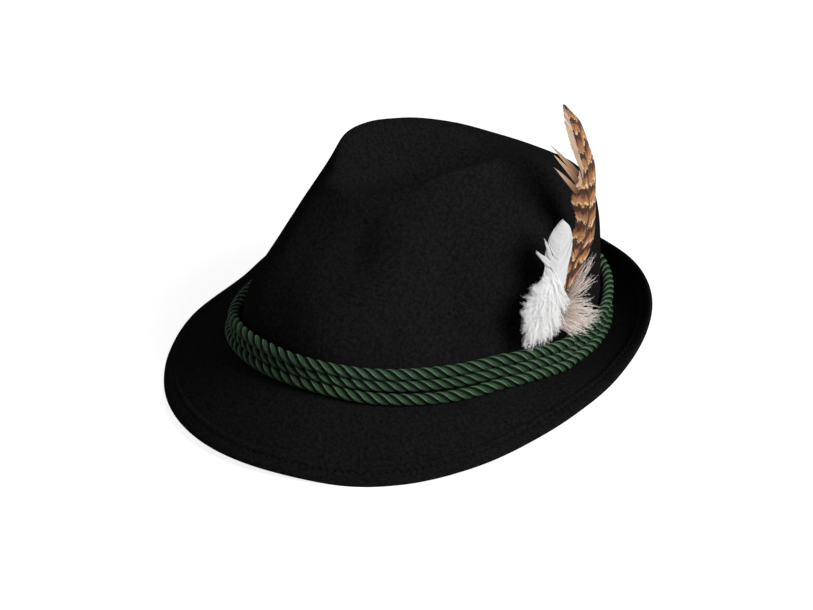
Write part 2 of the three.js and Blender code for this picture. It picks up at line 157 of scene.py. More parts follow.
def around(table, column, angle):
    """A table's column at any angle: a cubic between the two stations beside it, with the slopes that
    the stations beyond them give."""
    at = np.array(table["angle"], float)
    value = np.array(table[column], float)
    at = np.r_[-at[1], at, 360 - at[-2]]
    value = np.r_[value[1], value, value[-2]]
    turned = half_turn(angle)
    i = np.clip(np.searchsorted(at, turned, side="right") - 1, 1, len(at) - 3)
    span = at[i + 1] - at[i]
    s = (turned - at[i]) / span
    leave = (value[i + 1] - value[i - 1]) / (at[i + 1] - at[i - 1]) * span
    arrive = (value[i + 2] - value[i]) / (at[i + 2] - at[i]) * span
    return cubic(value[i], leave, value[i + 1], arrive, s)


def bezier(a, b, c, d, t):
    """Cubic Bezier value for the four controls."""
    r = 1 - t
    return r**3 * a + 3 * r * r * t * b + 3 * r * t * t * c + t**3 * d


def crown(angle, climb):
    """Outer face of the crown for angle (degrees from the front) and climb, which is 0 at the brim, 1 at
    the top edge and 2 at the middle of the top. Each upright section is a Bezier from the head oval
    to the top edge, less two Gaussian pinches at the front. The top sinks from the edge to a sloping
    floor. The foot's own height fades out up the wall."""
    angle, climb = np.broadcast_arrays(np.asarray(angle, float), np.asarray(climb, float))
    turn = np.radians(angle)
    ridge, height, swell, low, shoulder, fall, foot = (
        around(CROWN, c, angle) for c in ("ridge", "height", "swell", "low", "shoulder", "fall", "foot"))

    def across_y(reach):
        return HEAD["top_centre_y"] * (1 - reach) - reach * HEAD["half_length"] * np.cos(turn)

    def floor(reach):
        return TOP_DENT["floor"] + TOP_DENT["slope"] * across_y(reach)

    t = np.minimum(climb, 1)
    reach = bezier(1.0, 1 + swell, ridge + shoulder, ridge, t)
    z = bezier(0.0, low * height, (1 - fall) * height, height, t)
    turned = (angle + 180.0) % 360.0 - 180.0
    for middle, high, wide, tall, depth in zip(*PINCHES.values()):
        reach = reach - depth * np.exp(-((turned - middle) / wide) ** 2 - ((z / height - high) / tall) ** 2)
    inner = reach * (2 - climb)
    sunk = floor(inner) + (height - floor(reach)) * smooth(0, 1, 2 - climb)
    z = np.where(climb > 1, sunk, z)
    reach = np.where(climb > 1, inner, reach)
    z = z + foot * np.clip(1 - z / HEAD["foot_fades"], 0, 1)
    return np.stack([reach * HEAD["half_width"] * np.sin(turn), across_y(reach), z], axis=-1)


def outward(angle):
    """Level unit vector straight out from the head oval."""
    turn = np.radians(np.asarray(angle, float))
    x, y = HEAD["half_length"] * np.sin(turn), -HEAD["half_width"] * np.cos(turn)
    return unit(np.stack([x, y, 0 * turn], axis=-1))


def brim(angle, distance):
    """Upper face of the brim at a distance along the felt from the crown. The section starts at the head
    oval and its slope turns from the root value to the rim value, so the face is the running sum of
    (cos slope, sin slope), taken in equal steps."""
    angle, distance = np.broadcast_arrays(np.asarray(angle, float), np.asarray(distance, float))
    share = distance / around(BRIM, "width", angle)
    root, rim = np.radians(around(BRIM, "root", angle)), np.radians(around(BRIM, "rim", angle))
    middles = (np.arange(BRIM_SUMS) + 0.5) / BRIM_SUMS
    q = np.abs(share[..., None] * middles)
    slope = root[..., None] + (rim - root)[..., None] * q ** around(BRIM, "bend", angle)[..., None]
    out = (np.cos(slope).mean(-1) * distance)[..., None] * outward(angle)
    rise = (np.sin(slope).mean(-1) * distance)[..., None] * np.array([0.0, 0.0, 1.0])
    return crown(angle, 0.0) + out + rise


def closed_sheet_normals(grid):
    """Unit normals of a grid of rows round the hat: the cross product of the step to the next point of
    the row and the step to the next row."""
    along = np.roll(grid, -1, axis=1) - np.roll(grid, 1, axis=1)
    down = np.gradient(grid, axis=0)
    return unit(np.cross(down, along))


def mesh_of(name, points, quads, triangles=()):
    """A mesh object from arrays of points (metres), four-sided and three-sided faces."""
    mesh = bpy.data.meshes.new(name)
    quads = np.asarray(quads, np.int64).reshape(-1, 4)
    triangles = np.asarray(triangles, np.int64).reshape(-1, 3)
    mesh.vertices.add(len(points))
    mesh.vertices.foreach_set("co", np.asarray(points, np.float32).ravel())
    corners = np.concatenate([quads.ravel(), triangles.ravel()])
    mesh.loops.add(len(corners))
    mesh.loops.foreach_set("vertex_index", corners.astype(np.int32))
    starts = np.concatenate([np.arange(len(quads)) * 4, len(quads) * 4 + np.arange(len(triangles)) * 3])
    mesh.polygons.add(len(starts))
    mesh.polygons.foreach_set("loop_start", starts.astype(np.int32))
    mesh.polygons.foreach_set("use_smooth", np.ones(len(starts), bool))
    mesh.update(calc_edges=True)
    mesh.validate()
    piece = bpy.data.objects.new(name, mesh)
    bpy.context.scene.collection.objects.link(piece)
    return piece


def felt_rows(angle):
    """Rows of the felt's outer face from the middle of the top to the rim, then of its inner face back
    up, with every fourth row through the hem and every third above it. The top edge is rounded by
    averaging neighbouring rows there. Returns both grids."""
    climbs = np.concatenate([np.linspace(*rows) for rows in CLIMB_ROWS])
    body = crown(angle[None, :], climbs[:, None])
    near_edge = np.exp(-((climbs - 1.0) / TOP_EDGE["spread"]) ** 2)[:, None, None]
    for _ in range(TOP_EDGE["passes"]):
        blurred = body.copy()
        blurred[1:-1] = (body[:-2] + 2 * body[1:-1] + body[2:]) / 4
        body = body + near_edge * (blurred - body)
    width = around(BRIM, "width", angle)
    flat = np.linspace(*BRIM_ROWS)[:, None] * (width - HEM["begins"])[None, :]
    upper = np.concatenate([flat, width[None, :] - np.array(HEM["from_rim"])[:, None]])
    face = np.concatenate([body, brim(angle[None, :], upper)])
    normal = closed_sheet_normals(face)
    lift = np.concatenate([np.zeros(len(body) + len(flat)), HEM["lift"]])
    outer = face + normal * lift[:, None, None]
    kept = np.r_[np.arange(len(face) - 2, len(face) - 18, -4), np.arange(len(face) - 20, 0, -3)]
    thick = np.full(len(kept), FELT_THICK)
    thick[: len(RIM_THICK)] = RIM_THICK
    inner = face[kept] - normal[kept] * thick[:, None, None]
    return outer, inner


felt_angle = np.arange(FELT_STEPS) * 360.0 / FELT_STEPS
felt_outer, felt_inner = felt_rows(felt_angle)
ring_count = len(felt_outer) + len(felt_inner)
felt_points = np.concatenate([felt_outer.reshape(-1, 3), felt_inner.reshape(-1, 3)])
poles = crown(0.0, 2.0) - np.array([[0, 0, 0.0], [0, 0, FELT_THICK]])
felt_points = settled(np.concatenate([felt_points, poles]))
felt_points[:, 2] = np.maximum(felt_points[:, 2], 0.0)
row, step = np.meshgrid(np.arange(ring_count - 1), np.arange(FELT_STEPS), indexing="ij")
after = (step + 1) % FELT_STEPS
above, below = row * FELT_STEPS, (row + 1) * FELT_STEPS
quads = np.stack([above + step, below + step, below + after, above + after], axis=-1)
first = np.arange(FELT_STEPS)
second = (first + 1) % FELT_STEPS
last_ring = (ring_count - 1) * FELT_STEPS
top_pole, inner_pole = len(felt_points) - 2, len(felt_points) - 1
outer_cap = np.stack([np.full_like(first, top_pole), first, second], axis=-1)
inner_cap = np.stack([np.full_like(first, inner_pole), last_ring + second, last_ring + first], axis=-1)
caps = np.concatenate([outer_cap, inner_cap])
felt_body = mesh_of("felt", felt_points, quads, caps)


def node(tree, kind, **values):
    """Adds a node of that kind beside the last. Values name its sockets or its own settings, and a
    socket given as a value is linked."""
    made = tree.nodes.new(kind)
    made.location = (NODE_STEP * len(tree.nodes), -NODE_DROP)
    for name, value in values.items():
        socket = name.replace("_", " ")
        if isinstance(value, bpy.types.NodeSocket):
            tree.links.new(value, made.inputs[socket])
        elif socket in made.inputs:
            made.inputs[socket].default_value = value
        else:
            setattr(made, name, value)
    return made


def new_material(name, **values):
    """A material with a Principled BSDF whose own sockets take the given values."""
    material = bpy.data.materials.new(name)
    material.use_nodes = True
    shader = material.node_tree.nodes["Principled BSDF"]
    for socket, value in values.items():
        shader.inputs[socket.replace("_", " ")].default_value = value
    return material, material.node_tree, shader


def maths(tree, operation, first, second):
    """A math node on two inputs, each a socket or a number; returns its result socket."""
    made = node(tree, "ShaderNodeMath", operation=operation)
    for slot, value in enumerate((first, second)):
        if isinstance(value, (int, float)):
            made.inputs[slot].default_value = value
        elif value is not None:
            tree.links.new(value, made.inputs[slot])
    return made.outputs[0]


def ramp(tree, factor, stops):
    """A colour ramp over (position, colour) stops; returns its colour socket."""
    made = node(tree, "ShaderNodeValToRGB")
    while len(made.color_ramp.elements) < len(stops):
        made.color_ramp.elements.new(0.5)
    for element, (position, colour) in zip(made.color_ramp.elements, stops):
        element.position, element.color = position, (*colour, 1)
    tree.links.new(factor, made.inputs["Fac"])
    return made.outputs["Color"]


felt_black, tree, shader = new_material(
    "black_wool_felt", Roughness=1.0, Specular_IOR_Level=0.0, Sheen_Weight=0.006, Sheen_Roughness=0.35)
shader.inputs["Sheen Tint"].default_value = (0.8, 0.82, 0.85, 1)
place = node(tree, "ShaderNodeTexCoord").outputs["Object"]
fibres = node(tree, "ShaderNodeTexNoise", Vector=place, Scale=1700.0, Detail=3.0, Roughness=0.7,
              Distortion=0.4).outputs["Fac"]
clumps = node(tree, "ShaderNodeTexNoise", Vector=place, Scale=620.0, Detail=3.0,
              Roughness=0.6).outputs["Fac"]
felt_tones = ((0.14, (0.0040, 0.0040, 0.0041)), (0.40, (0.0125, 0.0125, 0.0130)))
shade = ramp(tree, maths(tree, "MULTIPLY", fibres, clumps), felt_tones)
tree.links.new(shade, shader.inputs["Base Color"])
raised = maths(tree, "ADD", fibres, clumps)
nap = node(tree, "ShaderNodeBump", Strength=0.7, Distance=0.00016, Height=raised)
tree.links.new(nap.outputs["Normal"], shader.inputs["Normal"])
felt_body.data.materials.append(felt_black)
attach(felt_body, "root")
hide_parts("felt_body")


# The hem's stitches.
# One row of black thread that holds the folded rim, 6.5 mm in from the edge. Each stitch is a short
# bowed length of thread between two holes, sunk in the groove that it pulls into the felt.

STITCH = {"pitch": 3.4, "length": 2.5, "thick": 0.34, "sink": 0.05, "rise": 0.42, "off_floor": 0.0003}
STITCH_LINE = {"points": 2400, "beside": 0.4}
GROOVE_LIFT = HEM["lift"][HEM["from_rim"].index(HEM["stitch_in"])]


def stitch_row(sides=6, steps=7):
    """Round rods along a line that runs parallel to the rim. The line is cut into equal pitches by its
    length, and each stitch rises from the felt as a half sine and tapers to a point at both ends."""
    angle = np.arange(STITCH_LINE["points"]) * 360.0 / STITCH_LINE["points"]
    beside = np.array([[STITCH_LINE["beside"]], [0.0], [-STITCH_LINE["beside"]]])
    inward = around(BRIM, "width", angle)[None, :] - HEM["stitch_in"] - beside
    rows = brim(angle[None, :], inward)
    line, lift = rows[1], closed_sheet_normals(rows)[1]
    walked = np.r_[0, np.cumsum(np.linalg.norm(np.diff(np.r_[line, line[:1]], axis=0), axis=-1))]
    count = int(walked[-1] / STITCH["pitch"])
    t = np.linspace(0, 1, steps)
    at = np.arange(count)[:, None] * (walked[-1] / count) + STITCH["length"] * t[None, :]

    def read(values):
        """Values of the fine line at the stitches' own points."""
        columns = [np.interp(at % walked[-1], walked, np.r_[values[:, k], values[:1, k]]) for k in range(3)]
        return np.stack(columns, axis=-1)

    up = unit(read(lift))
    bow = GROOVE_LIFT - STITCH["sink"] + STITCH["rise"] * np.sin(np.pi * t)
    core = read(line) + up * bow[None, :, None]
    heading = unit(np.gradient(core, axis=1))
    side = np.cross(heading, up)
    radius = STITCH["thick"] * np.sqrt(np.clip(np.sin(np.pi * (0.02 + 0.96 * t)), 0.02, 1))
    turn = 2 * np.pi * np.arange(sides) / sides
    spoke = np.cos(turn)[:, None] * side[:, :, None] + np.sin(turn)[:, None] * up[:, :, None]
    grid = core[:, :, None] + radius[None, :, None, None] * spoke
    n, j, k = np.meshgrid(np.arange(count), np.arange(steps - 1), np.arange(sides), indexing="ij")
    here, ahead, beyond = (n * steps + j) * sides, (n * steps + j + 1) * sides, (k + 1) % sides
    walls = np.stack([here + k, here + beyond, ahead + beyond, ahead + k], axis=-1).reshape(-1, 4)
    ends = np.concatenate([grid[:, 0].mean(axis=1), grid[:, -1].mean(axis=1)])
    base = count * steps * sides
    n, k = np.meshgrid(np.arange(count), np.arange(sides), indexing="ij")
    opening, final = n * steps * sides, (n * steps + steps - 1) * sides
    beyond = (k + 1) % sides
    first = np.stack([base + n, opening + beyond, opening + k], axis=-1).reshape(-1, 3)
    last = np.stack([base + count + n, final + k, final + beyond], axis=-1).reshape(-1, 3)
    points = settled(np.concatenate([grid.reshape(-1, 3), ends]))
    points[:, 2] = np.maximum(points[:, 2], STITCH["off_floor"])
    return mesh_of("hem_stitches", points, walls, np.concatenate([first, last]))


hem_stitches = stitch_row()
thread_black, tree, shader = new_material("black_thread", Roughness=0.6, Specular_IOR_Level=0.12)
place = node(tree, "ShaderNodeTexCoord").outputs["Object"]
twist = node(tree, "ShaderNodeTexNoise", Vector=place, Scale=2600.0, Detail=2.0).outputs["Fac"]
thread_tones = ((0.0, (0.0008, 0.0008, 0.0009)), (1.0, (0.004, 0.004, 0.0042)))
shade = ramp(tree, twist, thread_tones)
tree.links.new(shade, shader.inputs["Base Color"])
hem_stitches.data.materials.append(thread_black)
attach(hem_stitches, "root")


# The cord.
# Three rounds of a green cord about 5 mm thick, each of three satin plies laid together, lying on each
# other at the foot of the crown. They stand out a little where the two quills pass behind them.

CORD = {"radius": 2.75, "gap": 0.15, "pitch": 5.35, "outer_rounds": 1.2, "middle_round": 0.35}
THICKER = [1.03, 0.96, 1.04]
QUILL_BULGE = {"depth": 2.3, "from": 74.0, "full": 80.0, "full_to": 99.0, "to": 106.0}
LAY = {"plies": 3, "turns": 35, "ply_radius": 1.25, "ply_centre": 1.50, "ply_oval": 1.12,
       "steps_per_turn": 20, "sides": 12, "smoothing": 3}
PHASES = {"cord_lower": 0.0, "cord_middle": 0.21, "cord_upper": 0.09}
SEARCH = {"highest_climb": 0.6, "halvings": 26, "out_to": 12, "points": 49, "passes": 4}


def wall_at(angle, height):
    """Point of the crown's wall at a height above its break, found by halving the range of climb."""
    low, high = np.zeros_like(angle), np.full_like(angle, SEARCH["highest_climb"])
    foot = crown(angle, 0.0)[..., 2]
    for _ in range(SEARCH["halvings"]):
        middle = (low + high) / 2
        below = crown(angle, middle)[..., 2] - foot < height
        low, high = np.where(below, middle, low), np.where(below, high, middle)
    return crown(angle, low)


def rest_height(angle, stand, reach):
    """Height above the break of a round line that lies on the brim, clear of the wall by stand: the
    highest of (brim + sqrt(reach^2 - across^2)) over the brim near it, found again as the wall leans."""
    along = np.linspace(0, SEARCH["out_to"], SEARCH["points"])
    foot = crown(angle, 0.0)
    under = brim(angle[:, None], along[None, :]) - foot[:, None]
    under_out = (under * outward(angle)[:, None]).sum(-1)
    height = np.zeros_like(angle)
    for _ in range(SEARCH["passes"]):
        middle = ((wall_at(angle, height) - foot) * outward(angle)).sum(-1) + stand
        across = under_out - middle[:, None]
        lifted = under[..., 2] + np.sqrt(np.clip(reach**2 - across**2, 0, None))
        height = np.where(np.abs(across) < reach, lifted, 0.0).max(axis=1)
    return height


def cord_line(number, angle):
    """Middle line of one round: lying on the brim, each next round a pitch higher, a radius out from the
    wall. The outer rounds stand further out than the middle one, and all stand out over the quills."""
    touch = CORD["radius"] + CORD["gap"]
    height = rest_height(angle, touch + CORD["outer_rounds"], touch) + number * CORD["pitch"]
    over = smooth(QUILL_BULGE["from"], QUILL_BULGE["full"], angle) * (
        1 - smooth(QUILL_BULGE["full_to"], QUILL_BULGE["to"], angle))
    loose = CORD["middle_round"] if number == 1 else CORD["outer_rounds"]
    stand = touch + np.maximum(loose, QUILL_BULGE["depth"] * over)
    return wall_at(angle, height) + stand[..., None] * outward(angle)


def twisted_round(name, number, phase):
    """The plies round the middle line. Each ply's own line is the middle line plus a vector of fixed
    length turning once per lay, and its skin is an oval carried square to that line. UV runs along
    the ply in lays and round it in turns."""
    plies, turns, per_turn, sides = LAY["plies"], LAY["turns"], LAY["steps_per_turn"], LAY["sides"]
    count = turns * per_turn
    angle = np.arange(count) * 360.0 / count
    line = cord_line(number, angle)
    for _ in range(LAY["smoothing"]):
        line = (np.roll(line, 1, axis=0) + 2 * line + np.roll(line, -1, axis=0)) / 4
    forward = unit(np.roll(line, -1, axis=0) - np.roll(line, 1, axis=0))
    out = outward(angle)
    out = unit(out - forward * (out * forward).sum(-1, keepdims=True))
    rise = np.cross(forward, out)
    length = np.r_[0, np.cumsum(np.linalg.norm(np.diff(line, axis=0), axis=-1))]
    length = length / (length[-1] + np.linalg.norm(line[0] - line[-1])) * turns
    points = []
    for ply in range(plies):
        swing = 2 * np.pi * (length + ply / plies + phase)
        spoke = np.cos(swing)[:, None] * out + np.sin(swing)[:, None] * rise
        core = line + LAY["ply_centre"] * THICKER[number] * spoke
        heading = unit(np.roll(core, -1, axis=0) - np.roll(core, 1, axis=0))
        across = unit(np.cross(heading, spoke))
        level = np.cross(across, heading)
        turn = 2 * np.pi * np.arange(sides) / sides
        ring = (np.cos(turn)[None, :, None] * level[:, None]
                + np.sin(turn)[None, :, None] * across[:, None] * LAY["ply_oval"])
        points.append(core[:, None] + LAY["ply_radius"] * THICKER[number] * ring)
    grid = np.stack(points)
    ply, j, k = np.meshgrid(np.arange(plies), np.arange(count), np.arange(sides), indexing="ij")
    j_next, k_next = (j + 1) % count, (k + 1) % sides
    here, ahead = (ply * count + j) * sides, (ply * count + j_next) * sides
    faces = np.stack([here + k, ahead + k, ahead + k_next, here + k_next], axis=-1).reshape(-1, 4)
    piece = mesh_of(name, settled(grid.reshape(-1, 3)), faces)
    layer = piece.data.uv_layers.new(name="along")
    length_ahead = np.where(j_next == 0, turns, length[j_next])
    u = np.stack([length[j], length_ahead, length_ahead, length[j]], axis=-1)
    v = np.stack([k, k, k + 1, k + 1], axis=-1) / sides
    layer.data.foreach_set("uv", np.stack([u, v], axis=-1).astype(np.float32).ravel())
    return piece


def mix(tree, factor, first, second, blend="MIX"):
    """A colour mix; the factor is a socket or a number, first and second are sockets or colours."""
    made = node(tree, "ShaderNodeMix", data_type="RGBA", blend_type=blend)
    colours = made.inputs[6], made.inputs[7]
    for socket, value in zip((made.inputs["Factor"], *colours), (factor, first, second)):
        if isinstance(value, bpy.types.NodeSocket):
            tree.links.new(value, socket)
        elif isinstance(value, tuple):
            socket.default_value = (*value, 1)
        else:
            socket.default_value = value
    return made.outputs[2]


def grey_ramp(tree, factor, stops):
    """A ramp over (position, brightness) stops."""
    return ramp(tree, factor, [(at, (value, value, value)) for at, value in stops])


# Painted light and shade round a ply, by turns, in the cord's colour. The painted groove shade counts from
# the ply's innermost line and darkens the colour where the plies meet, and the painted flank highlight
# counts from its outermost line, a light line on one side where satin catches the light.
PAINTED_GROOVE_SHADE = ((0.0, 0.0), (0.24, 0.01), (0.31, 0.12), (0.38, 0.62), (0.45, 1.25), (1.0, 1.9))
PAINTED_FLANK_HIGHLIGHT = ((0.0, 0.0), (0.045, 0.0), (0.075, 1.0), (0.105, 1.0), (0.14, 0.0), (1.0, 0.0))
PAINTED_HIGHLIGHT_STRENGTH = 0.75
cord_green, tree, shader = new_material(
    "green_satin_cord", Specular_IOR_Level=0.3, Sheen_Weight=0.01, Sheen_Roughness=0.3)
shader.inputs["Sheen Tint"].default_value = (0.55, 0.85, 0.55, 1)
lie = node(tree, "ShaderNodeUVMap", uv_map="along").outputs["UV"]
yarns = node(tree, "ShaderNodeMapping", Vector=lie, Scale=(5.5, 12.0, 1.0), Rotation=(0, 0, 0.35))
lines = node(tree, "ShaderNodeTexWave", bands_direction="Y", Vector=yarns.outputs["Vector"], Scale=0.7,
             Distortion=2.2, Detail=2.0, Detail_Scale=1.6).outputs["Fac"]
satin_tones = ((0.15, (0.0035, 0.018, 0.006)), (0.9, (0.028, 0.092, 0.032)))
satin = ramp(tree, lines, satin_tones)
round_ply = node(tree, "ShaderNodeSeparateXYZ", Vector=lie).outputs["Y"]
depth = maths(tree, "ABSOLUTE", maths(tree, "SUBTRACT", round_ply, 0.5), None)
# Painted shade: the colour darkens towards where the plies meet.
painted_groove_shade = grey_ramp(tree, depth, PAINTED_GROOVE_SHADE)
satin_with_painted_shade = mix(tree, 1.0, satin, painted_groove_shade, "MULTIPLY")
# Painted highlight: a light green line mixed into the colour along one flank of each ply.
painted_highlight_mask = grey_ramp(tree, round_ply, PAINTED_FLANK_HIGHLIGHT)
strength = maths(tree, "MULTIPLY", painted_highlight_mask, PAINTED_HIGHLIGHT_STRENGTH)
lit = mix(tree, strength, satin_with_painted_shade, (0.19, 0.31, 0.19))
tree.links.new(lit, shader.inputs["Base Color"])
gloss = node(tree, "ShaderNodeMapRange", Value=depth, From_Min=0.36, From_Max=0.46, To_Min=0.95,
             To_Max=0.36)
tree.links.new(gloss.outputs["Result"], shader.inputs["Roughness"])
ridges = node(tree, "ShaderNodeBump", Strength=0.8, Distance=0.00022, Height=lines)
tree.links.new(ridges.outputs["Normal"], shader.inputs["Normal"])
for number, (name, phase) in enumerate(PHASES.items()):
    cord = twisted_round("twisted_" + name, number, phase)
    cord.data.materials.append(cord_green)
    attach(cord, "root")
    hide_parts(name)


# The barred feather.
# A wing feather: a horny shaft with a vane on each side made of barbs that hook into each other and
# split in places, and grey down at its foot. Brown, with dark bars edged in cream, tucked in the cord.

BARRED = {
    "x":     [81.14, 80.33, 78.49, 82.6, 81.3, 78.6, 75.8, 74.1, 73.8, 72.1, 69.5, 66.5, 63.6],
    "y":     [5.5, 5.8, 6.8, 11.4, 15, 21.7, 31.8, 36.5, 35.8, 36.2, 34.4, 32.5, 26.3],
    "z":     [-2, 6, 14, 21.9, 32.6, 42.8, 51.8, 64.4, 76.8, 88.5, 100.2, 110.9, 120.7],
    "left":  [0.0, 0.0, 0.0, 3.0, 4.0, 11.0, 10.0, 7.5, 10.5, 5.0, 6.6, 6.5, 0.0],
    "right": [0.0, 0.0, 0.0, 3.0, 6.0, 10.0, 8.5, 6.0, 6.0, 6.0, 4.6, 3.0, 0.0],
}
BARRED_SPLITS = {
    "side": [-1, -1, -1, 1, 1, 1],
    "at":   [93, 72, 58, 98, 64, 50],
    "gap":  [1.6, 1.2, 1.0, 0.9, 1.2, 1.4],
}
BARRED_TUFTS = {
    "from_y": [29.4, 29.0, 28.5, 16.7, 16.6, 13.3, 12.6, 12.0, 11.4],
    "from_z": [87.5, 83.6, 78.7, 30.9, 30.0, 26.4, 24.7, 22.8, 21.0],
    "to_x":   [68.5, 69.7, 71.2, 76.8, 79.5, 82.8, 86.8, 88.6, 89.0],
    "to_y":   [13.2, 14.5, 14.0, 38.8, 38.7, 33.3, 35.6, 28.8, 17.6],
    "to_z":   [105.1, 100.4, 94.4, 45.1, 33.8, 23.2, 17.7, 13.4, 14.6],
    "width":  [2.4, 2.4, 2.4, 5, 5, 6, 7, 7, 7],
    "count":  [26, 26, 26, 26, 30, 38, 58, 62, 62],
    "down":   [0.2, 0.2, 0.2, 1, 1, 1, 1, 1, 1],
    "spread": [0.12, 0.12, 0.12, 1, 1, 1, 1, 1, 1],
}
BARRED_MAKE = {
    "seed": 46, "roots": (30.0, 27.0), "spacing": 0.34, "run": 11.0, "loose": 1.0,
    "hairs": 9, "hair_reach": 1.1, "rod": (0.85, 0.16),
}
# A vane's barbs, a tuft's loose barbs and the hairs on these. Lengths are in mm, and the rest are
# shares, slopes and powers.
BARB = {
    "bend": 1.25, "fill": 0.88, "short_end": 1.6, "split_reach": 3.5, "split_bend": 1.6, "proud": 0.5,
    "camber": 1.3, "overlap": 1.75, "taper": 0.45, "tilt": 0.12, "uneven": 0.05, "uneven_edge": 0.025,
    "last_root": 0.6, "last_end": 0.02,
}
LOOSE_BARB = {
    "crowd": 0.36, "crowd_limit": 0.6, "down_reach": (0.62, 1.06), "lock_reach": (0.8, 1.0),
    "down_foot": 0.45, "lock_foot": 0.9, "scatter": 0.4, "lock_scatter": 0.1, "end_scatter": 1.1,
    "bow": 0.13, "lock_bow": 0.35, "bow_out": 0.05, "crimp": 0.12, "half_width": 0.13, "lock_wider": 0.09,
    "taper": 0.7,
}
HAIR = {
    "from": 0.12, "to": 0.98, "forward": 0.75, "aside": 0.7, "out": 0.45, "reach": (0.5, 1.1),
    "lead": 0.1, "half_width": (0.055, 0.045, 0.012),
}
SHAFT = {"steps": 90, "sides": 8, "end_radius": 0.01, "proud": 0.35}
FACE = np.array([1.0, 0.0, 0.0])


class Spine:
    """A feather's shaft line. Its rows are joined by cubics, and each reading is by length in mm from
    the foot: the point, the heading and the width of the vane on either side."""

    def __init__(self, table):
        rows = np.arange(len(table["x"]))
        fine = np.linspace(0, rows[-1], 700)
        i = np.clip(fine.astype(int), 0, rows[-1] - 1)
        s = fine - i
        self.values = {}
        for name, column in table.items():
            v = np.array(column, float)
            slope = np.gradient(v)
            self.values[name] = cubic(v[i], slope[i], v[i + 1], slope[i + 1], s)
        points = np.stack([self.values[c] for c in "xyz"], axis=-1)
        steps = np.linalg.norm(np.diff(points, axis=0), axis=-1)
        self.along = np.r_[0, np.cumsum(steps)]
        self.length = self.along[-1]

    def read(self, name, along):
        return np.interp(along, self.along, self.values[name])

    def point(self, along):
        return np.stack([self.read(c, along) for c in "xyz"], axis=-1)

    def heading(self, along):
        return unit(self.point(along + 0.5) - self.point(along - 0.5))

    def along_at_height(self, height):
        return np.interp(height, self.values["z"], self.along)


def ribbons(path, half_width, tilt):
    """Flat strips along paths of shape (strip, step, 3): each point is widened both ways, square to the
    path and in the feather's plane, and tipped out of that plane by tilt."""
    across = unit(np.cross(FACE, unit(np.gradient(path, axis=1))))
    side = (across + tilt * FACE) * np.asarray(half_width)[..., None]
    return np.stack([path - side, path + side], axis=2)


def vane(spine, side, begin, spacing, run, splits, rng, loose, steps=10):
    """Barbs of one side. A barb that leaves the shaft at s reaches out to share u of the vane's width
    where the shaft has gone on by run * u^bend, so that the edge of the vane follows its table. Near
    a split the barbs' ends draw back from it on both sides. Loose scales how unevenly they lie."""
    root = np.arange(begin, spine.length - BARB["last_root"], spacing)
    u = np.linspace(0, 1, steps)
    wander = rng.normal(0, 1, len(root))
    left_over = np.minimum(1, (spine.length - root) / (run * BARB["short_end"]))
    reach = run * left_over * (1 + BARB["uneven"] * loose * wander)
    along = root[:, None] + reach[:, None] * u[None, :] ** BARB["bend"]
    for split_side, at, gap in zip(*splits.values()):
        if split_side == side:
            off = root - at
            drawn = gap * np.sign(off) * np.exp(-np.abs(off) / BARB["split_reach"])
            along += drawn[:, None] * u[None, :] ** BARB["split_bend"]
    along = np.minimum(along, spine.length - BARB["last_end"])
    full = spine.read("left" if side < 0 else "right", along)
    uneven_edge = 1 + BARB["uneven_edge"] * loose * rng.normal(0, 1, len(root))
    share = u[None, :] ** BARB["fill"] * uneven_edge[:, None]
    out = full * share
    path = spine.point(along)
    path[..., 1] += side * out
    uneven = BARB["uneven"] * loose * rng.normal(0, 1, len(root))[:, None]
    path[..., 0] += BARB["proud"] - BARB["camber"] * share**2 + uneven
    half = 0.5 * spacing * BARB["overlap"] * (1 - BARB["taper"] * u[None, :] ** 3) * np.ones_like(out)
    strips = ribbons(path, half, -BARB["tilt"] * side)
    lie = np.stack([side * share, along / 10], axis=-1)
    return strips, lie, np.full(len(root), 0.0), rng.random(len(root))


def tuft(spine, table, number, rng, steps=8):
    """Loose barbs of one tuft: from the shaft, bowed, to ends that scatter round the tuft's point as
    widely as its spread says; a small spread draws them together into a pointed lock."""
    count, width = table["count"][number], table["width"][number]
    start_y, start_z = table["from_y"][number], table["from_z"][number]
    start = np.array([spine.read("x", spine.along_at_height(start_z)), start_y, start_z])
    end = np.array([table[c][number] for c in ("to_x", "to_y", "to_z")])
    spread, down = table["spread"][number], table["down"][number]
    kind = "down" if down == 1 else "lock"
    line = end - start
    length = np.linalg.norm(line)
    aside = np.cross(FACE, line / length)
    limit = LOOSE_BARB["crowd_limit"]
    place = np.clip(rng.normal(0, LOOSE_BARB["crowd"], count), -limit, limit) * width
    reach = rng.uniform(*LOOSE_BARB[kind + "_reach"], count)
    scatter = LOOSE_BARB["scatter"] * spread + LOOSE_BARB["lock_scatter"]
    first = start + aside * (place * LOOSE_BARB[kind + "_foot"])[:, None]
    first = first + rng.normal(0, scatter, (count, 3))
    last = start + line * reach[:, None] + aside * (place * spread)[:, None]
    last[:, 0] += rng.normal(0, LOOSE_BARB["end_scatter"] * spread, count)
    free_bow = rng.normal(0, LOOSE_BARB["bow"], count) * length * spread
    bow = aside * (free_bow + place * LOOSE_BARB["lock_bow"] * (1 - spread))[:, None]
    bow[:, 0] += rng.normal(LOOSE_BARB["bow_out"], LOOSE_BARB["bow_out"] * spread, count) * length
    t = np.linspace(0, 1, steps)[None, :, None]
    middle = (first + last) / 2 + bow
    path = (1 - t) ** 2 * first[:, None] + 2 * t * (1 - t) * middle[:, None] + t**2 * last[:, None]
    path += rng.normal(0, LOOSE_BARB["crimp"] * spread, path.shape) * t
    half = LOOSE_BARB["half_width"] + LOOSE_BARB["lock_wider"] * (1 - spread)
    half = half * (1 - LOOSE_BARB["taper"] * t[..., 0] ** 2) * np.ones((count, 1))
    strips = ribbons(path, half, 0.0)
    lie = np.stack(np.broadcast_arrays(t[..., 0], np.ones((count, 1))), axis=-1)
    return path, (strips, lie, np.full(count, down), rng.random(count))


